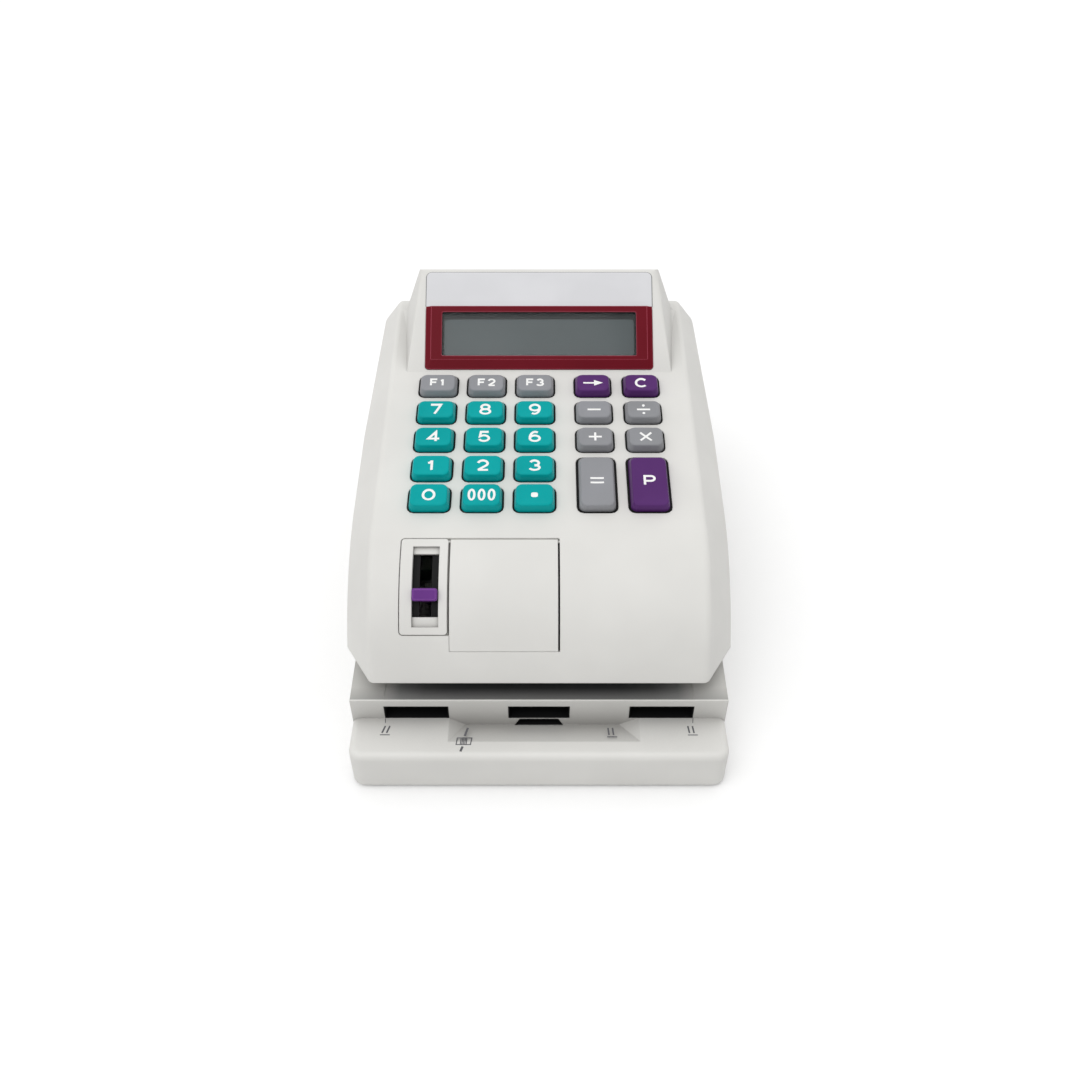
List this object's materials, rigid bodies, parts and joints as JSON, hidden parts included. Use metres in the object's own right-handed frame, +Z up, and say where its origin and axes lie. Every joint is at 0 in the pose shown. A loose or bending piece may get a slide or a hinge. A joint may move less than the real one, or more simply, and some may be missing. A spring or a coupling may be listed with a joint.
{
  "type": "check writer",
  "caption": "Electronic desk check writer: keypad head with tilted display over an open check slot, line lever, hinged ink cover and print, feed and platen units inside.",
  "frame": {"origin": "centre of the footprint, on the surface that the rubber feet stand on", "axes": "+X to the operator's right, +Y from the check slot to the display, +Z up"},
  "size_m": [0.19, 0.262, 0.1523],
  "materials": {
    "housing": "fine spark-eroded texture, warm off-white",
    "bottom_plastic": "plain moulded, slightly darker off-white",
    "key_teal": "satin double-shot key cap",
    "key_grey": "satin double-shot key cap",
    "key_purple": "satin double-shot key cap",
    "lever_purple": "satin moulded",
    "black_plastic": "matt black moulding",
    "bezel_maroon": "semi-gloss maroon moulding",
    "window": "clear tinted display window",
    "lcd": "grey-green liquid crystal panel",
    "plate": "satin silver-white plate, left bare",
    "silicone": "grey silicone dome sheet",
    "circuit_board": "green solder mask on glass fibre",
    "screw_steel": "zinc plated",
    "shaft_steel": "ground steel",
    "type_nylon": "moulded black type wheel",
    "nylon": "natural nylon",
    "brass": "turned brass",
    "motor_can": "nickel plated can",
    "ink_foam": "foam roller soaked in blue ink",
    "zinc_sheet": "zinc plated sheet",
    "roller_rubber": "nitrile rubber",
    "platen_rubber": "hard rubber pad on a steel plunger",
    "coil_wrap": "taped coil",
    "foot_rubber": "moulded rubber"
  },
  "bodies": {
    "housing": {"base_case": "housing", "bottom_plate": "bottom_plastic", "display_bezel": "bezel_maroon", "display_window": "window", "feed_frame": "zinc_sheet", "feed_motor": "motor_can", "head_frame": "zinc_sheet", "key_board": "circuit_board", "key_mat": "silicone", "lcd_panel": "lcd", "lever_bezel": "housing", "lever_guide": "black_plastic", "main_board": "circuit_board", "name_plate": "plate", "pivot_pins": "shaft_steel", "platen_coil": "coil_wrap", "power_inlet": "black_plastic", "rubber_feet": "foot_rubber", "screws": "screw_steel", "slot_liner": "black_plastic", "top_cover": "housing", "type_motor": "motor_can", "upper_guide": "housing"},
    "key_0": {"key_0": "key_teal"},
    "key_000": {"key_000": "key_teal"},
    "key_1": {"key_1": "key_teal"},
    "key_2": {"key_2": "key_teal"},
    "key_3": {"key_3": "key_teal"},
    "key_4": {"key_4": "key_teal"},
    "key_5": {"key_5": "key_teal"},
    "key_6": {"key_6": "key_teal"},
    "key_7": {"key_7": "key_teal"},
    "key_8": {"key_8": "key_teal"},
    "key_9": {"key_9": "key_teal"},
    "key_arrow": {"key_arrow": "key_purple"},
    "key_clear": {"key_clear": "key_purple"},
    "key_divide": {"key_divide": "key_grey"},
    "key_equals": {"key_equals": "key_grey"},
    "key_f1": {"key_f1": "key_grey"},
    "key_f2": {"key_f2": "key_grey"},
    "key_f3": {"key_f3": "key_grey"},
    "key_minus": {"key_minus": "key_grey"},
    "key_plus": {"key_plus": "key_grey"},
    "key_point": {"key_point": "key_teal"},
    "key_print": {"key_print": "key_purple"},
    "key_times": {"key_times": "key_grey"},
    "line_lever": {"line_lever": "lever_purple"},
    "paper_stop": {"paper_stop": "zinc_sheet"},
    "ink_cover": {"ink_cover": "housing"},
    "type_wheel": {"type_wheel": "type_nylon", "type_shaft": "shaft_steel"},
    "type_pinion": {"type_pinion": "brass"},
    "ink_roller": {"ink_roller": "ink_foam"},
    "feed_shaft": {"feed_shaft": "shaft_steel", "feed_tyres": "roller_rubber", "feed_gear": "nylon"},
    "feed_pinion": {"feed_pinion": "brass"},
    "pinch_arm": {"pinch_arm": "zinc_sheet"},
    "pinch_roller": {"pinch_roller": "roller_rubber"},
    "platen": {"platen": "platen_rubber"}
  },
  "joints": [
    {"name": "key_0_press", "type": "slide", "parent": "housing", "child": "key_0", "axis": [0, 0.1702, -0.9854], "range_m": [0, 0.0018], "stiffness_N_per_m": 250, "springref_m": -0.002, "deforming": ["key_mat"]},
    {"name": "key_000_press", "type": "slide", "parent": "housing", "child": "key_000", "axis": [0, 0.1702, -0.9854], "range_m": [0, 0.0018], "stiffness_N_per_m": 250, "springref_m": -0.002, "deforming": ["key_mat"]},
    {"name": "key_1_press", "type": "slide", "parent": "housing", "child": "key_1", "axis": [0, 0.1702, -0.9854], "range_m": [0, 0.0018], "stiffness_N_per_m": 250, "springref_m": -0.002, "deforming": ["key_mat"]},
    {"name": "key_2_press", "type": "slide", "parent": "housing", "child": "key_2", "axis": [0, 0.1702, -0.9854], "range_m": [0, 0.0018], "stiffness_N_per_m": 250, "springref_m": -0.002, "deforming": ["key_mat"]},
    {"name": "key_3_press", "type": "slide", "parent": "housing", "child": "key_3", "axis": [0, 0.1702, -0.9854], "range_m": [0, 0.0018], "stiffness_N_per_m": 250, "springref_m": -0.002, "deforming": ["key_mat"]},
    {"name": "key_4_press", "type": "slide", "parent": "housing", "child": "key_4", "axis": [0, 0.1702, -0.9854], "range_m": [0, 0.0018], "stiffness_N_per_m": 250, "springref_m": -0.002, "deforming": ["key_mat"]},
    {"name": "key_5_press", "type": "slide", "parent": "housing", "child": "key_5", "axis": [0, 0.1702, -0.9854], "range_m": [0, 0.0018], "stiffness_N_per_m": 250, "springref_m": -0.002, "deforming": ["key_mat"]},
    {"name": "key_6_press", "type": "slide", "parent": "housing", "child": "key_6", "axis": [0, 0.1702, -0.9854], "range_m": [0, 0.0018], "stiffness_N_per_m": 250, "springref_m": -0.002, "deforming": ["key_mat"]},
    {"name": "key_7_press", "type": "slide", "parent": "housing", "child": "key_7", "axis": [0, 0.1702, -0.9854], "range_m": [0, 0.0018], "stiffness_N_per_m": 250, "springref_m": -0.002, "deforming": ["key_mat"]},
    {"name": "key_8_press", "type": "slide", "parent": "housing", "child": "key_8", "axis": [0, 0.1702, -0.9854], "range_m": [0, 0.0018], "stiffness_N_per_m": 250, "springref_m": -0.002, "deforming": ["key_mat"]},
    {"name": "key_9_press", "type": "slide", "parent": "housing", "child": "key_9", "axis": [0, 0.1702, -0.9854], "range_m": [0, 0.0018], "stiffness_N_per_m": 250, "springref_m": -0.002, "deforming": ["key_mat"]},
    {"name": "key_arrow_press", "type": "slide", "parent": "housing", "child": "key_arrow", "axis": [0, 0.1702, -0.9854], "range_m": [0, 0.0018], "stiffness_N_per_m": 250, "springref_m": -0.002, "deforming": ["key_mat"]},
    {"name": "key_clear_press", "type": "slide", "parent": "housing", "child": "key_clear", "axis": [0, 0.1702, -0.9854], "range_m": [0, 0.0018], "stiffness_N_per_m": 250, "springref_m": -0.002, "deforming": ["key_mat"]},
    {"name": "key_divide_press", "type": "slide", "parent": "housing", "child": "key_divide", "axis": [0, 0.1702, -0.9854], "range_m": [0, 0.0018], "stiffness_N_per_m": 250, "springref_m": -0.002, "deforming": ["key_mat"]},
    {"name": "key_equals_press", "type": "slide", "parent": "housing", "child": "key_equals", "axis": [0, 0.1702, -0.9854], "range_m": [0, 0.0018], "stiffness_N_per_m": 250, "springref_m": -0.002, "deforming": ["key_mat"]},
    {"name": "key_f1_press", "type": "slide", "parent": "housing", "child": "key_f1", "axis": [0, 0.1702, -0.9854], "range_m": [0, 0.0018], "stiffness_N_per_m": 250, "springref_m": -0.002, "deforming": ["key_mat"]},
    {"name": "key_f2_press", "type": "slide", "parent": "housing", "child": "key_f2", "axis": [0, 0.1702, -0.9854], "range_m": [0, 0.0018], "stiffness_N_per_m": 250, "springref_m": -0.002, "deforming": ["key_mat"]},
    {"name": "key_f3_press", "type": "slide", "parent": "housing", "child": "key_f3", "axis": [0, 0.1702, -0.9854], "range_m": [0, 0.0018], "stiffness_N_per_m": 250, "springref_m": -0.002, "deforming": ["key_mat"]},
    {"name": "key_minus_press", "type": "slide", "parent": "housing", "child": "key_minus", "axis": [0, 0.1702, -0.9854], "range_m": [0, 0.0018], "stiffness_N_per_m": 250, "springref_m": -0.002, "deforming": ["key_mat"]},
    {"name": "key_plus_press", "type": "slide", "parent": "housing", "child": "key_plus", "axis": [0, 0.1702, -0.9854], "range_m": [0, 0.0018], "stiffness_N_per_m": 250, "springref_m": -0.002, "deforming": ["key_mat"]},
    {"name": "key_point_press", "type": "slide", "parent": "housing", "child": "key_point", "axis": [0, 0.1702, -0.9854], "range_m": [0, 0.0018], "stiffness_N_per_m": 250, "springref_m": -0.002, "deforming": ["key_mat"]},
    {"name": "key_print_press", "type": "slide", "parent": "housing", "child": "key_print", "axis": [0, 0.1702, -0.9854], "range_m": [0, 0.0018], "stiffness_N_per_m": 250, "springref_m": -0.002, "deforming": ["key_mat"]},
    {"name": "key_times_press", "type": "slide", "parent": "housing", "child": "key_times", "axis": [0, 0.1702, -0.9854], "range_m": [0, 0.0018], "stiffness_N_per_m": 250, "springref_m": -0.002, "deforming": ["key_mat"]},
    {"name": "line_lever_swing", "type": "hinge", "parent": "housing", "child": "line_lever", "pos_m": [-0.0538, -0.05322, 0.05217], "axis": [1, 0, 0], "range_deg": [-22, 10]},
    {"name": "paper_stop_slide", "type": "slide", "parent": "housing", "child": "paper_stop", "axis": [0, 1, 0], "range_m": [-0.0025, 0.0056]},
    {"name": "ink_cover_hinge", "type": "hinge", "parent": "housing", "child": "ink_cover", "pos_m": [-0.01625, -0.05625, 0.09508], "axis": [-1, 0, 0], "range_deg": [0, 80]},
    {"name": "type_wheel_spin", "type": "hinge", "parent": "housing", "child": "type_wheel", "pos_m": [-0.037, -0.081, 0.0604], "axis": [0, 1, 0], "continuous": true},
    {"name": "type_pinion_spin", "type": "hinge", "parent": "housing", "child": "type_pinion", "pos_m": [-0.0306, -0.057, 0.07149], "axis": [0, 1, 0], "continuous": true},
    {"name": "ink_roller_spin", "type": "hinge", "parent": "housing", "child": "ink_roller", "pos_m": [-0.0177, -0.081, 0.0694], "axis": [0, 1, 0], "continuous": true},
    {"name": "feed_shaft_spin", "type": "hinge", "parent": "housing", "child": "feed_shaft", "pos_m": [0.028, -0.089, 0.0307], "axis": [0, 1, 0], "continuous": true},
    {"name": "feed_pinion_spin", "type": "hinge", "parent": "housing", "child": "feed_pinion", "pos_m": [0.0344, -0.02, 0.01962], "axis": [0, 1, 0], "continuous": true},
    {"name": "pinch_arm_swing", "type": "hinge", "parent": "housing", "child": "pinch_arm", "pos_m": [0.058, -0.0865, 0.064], "axis": [0, -1, 0], "range_deg": [0, 15], "stiffness_Nm_per_rad": 0.02, "springref_deg": -20.05},
    {"name": "pinch_roller_spin", "type": "hinge", "parent": "pinch_arm", "child": "pinch_roller", "pos_m": [0.02385, -0.083, 0.05245], "axis": [0, 1, 0], "continuous": true},
    {"name": "platen_lift", "type": "slide", "parent": "housing", "child": "platen", "axis": [0, 0, 1], "range_m": [0, 0.008]}
  ],
  "couplings": [
    {"joint": "line_lever_swing", "follows": "paper_stop_slide", "rad_per_m": -68.49},
    {"joint": "type_pinion_spin", "follows": "type_wheel_spin", "ratio": -3},
    {"joint": "ink_roller_spin", "follows": "type_wheel_spin", "ratio": -1.625},
    {"joint": "feed_pinion_spin", "follows": "feed_shaft_spin", "ratio": -3}
  ]
}
